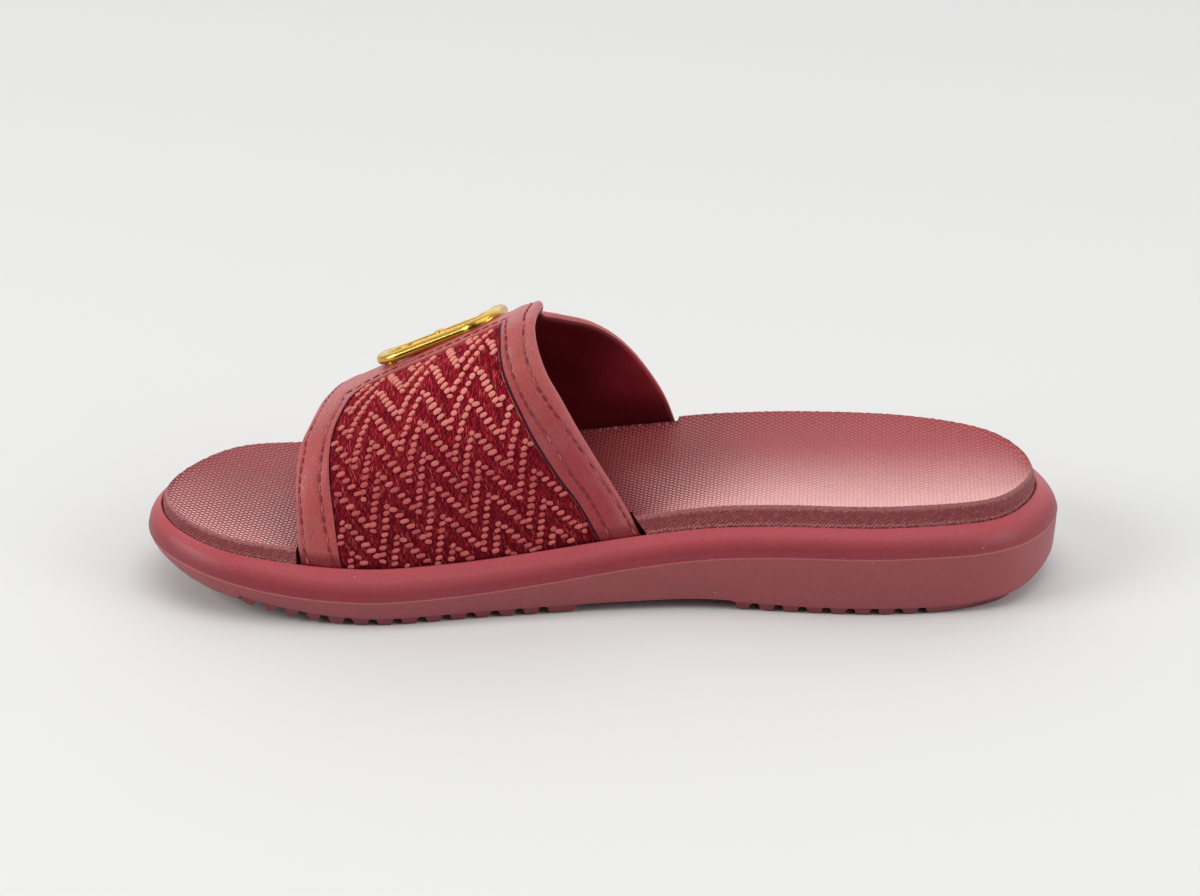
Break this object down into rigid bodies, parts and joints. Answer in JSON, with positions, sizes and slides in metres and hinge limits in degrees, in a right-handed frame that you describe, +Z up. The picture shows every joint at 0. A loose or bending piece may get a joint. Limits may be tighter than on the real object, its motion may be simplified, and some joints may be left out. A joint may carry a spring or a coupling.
{
  "type": "slide sandal",
  "caption": "Slide sandal for a right foot: moulded foam sole with cross ribs, notched footbed, one wide woven and leather strap and a metal ring ornament.",
  "frame": {"origin": "on the floor under the middle of the sole's bounding box", "axes": "+X from toe to heel, +Z up, -Y the medial side of a right foot"},
  "size_m": [0.2588, 0.0966, 0.0803],
  "materials": {
    "sole_foam": "satin moulded foam",
    "footbed_foam": "matt, fine dimpled texture",
    "strap_leather": "smooth satin leather",
    "gilt_metal": "polished gilt"
  },
  "bodies": {
    "root": {"sole": "sole_foam", "footbed": "footbed_foam", "upper": "strap_leather", "ring_ornament": "gilt_metal", "ring_stud": "gilt_metal"}
  },
  "joints": []
}
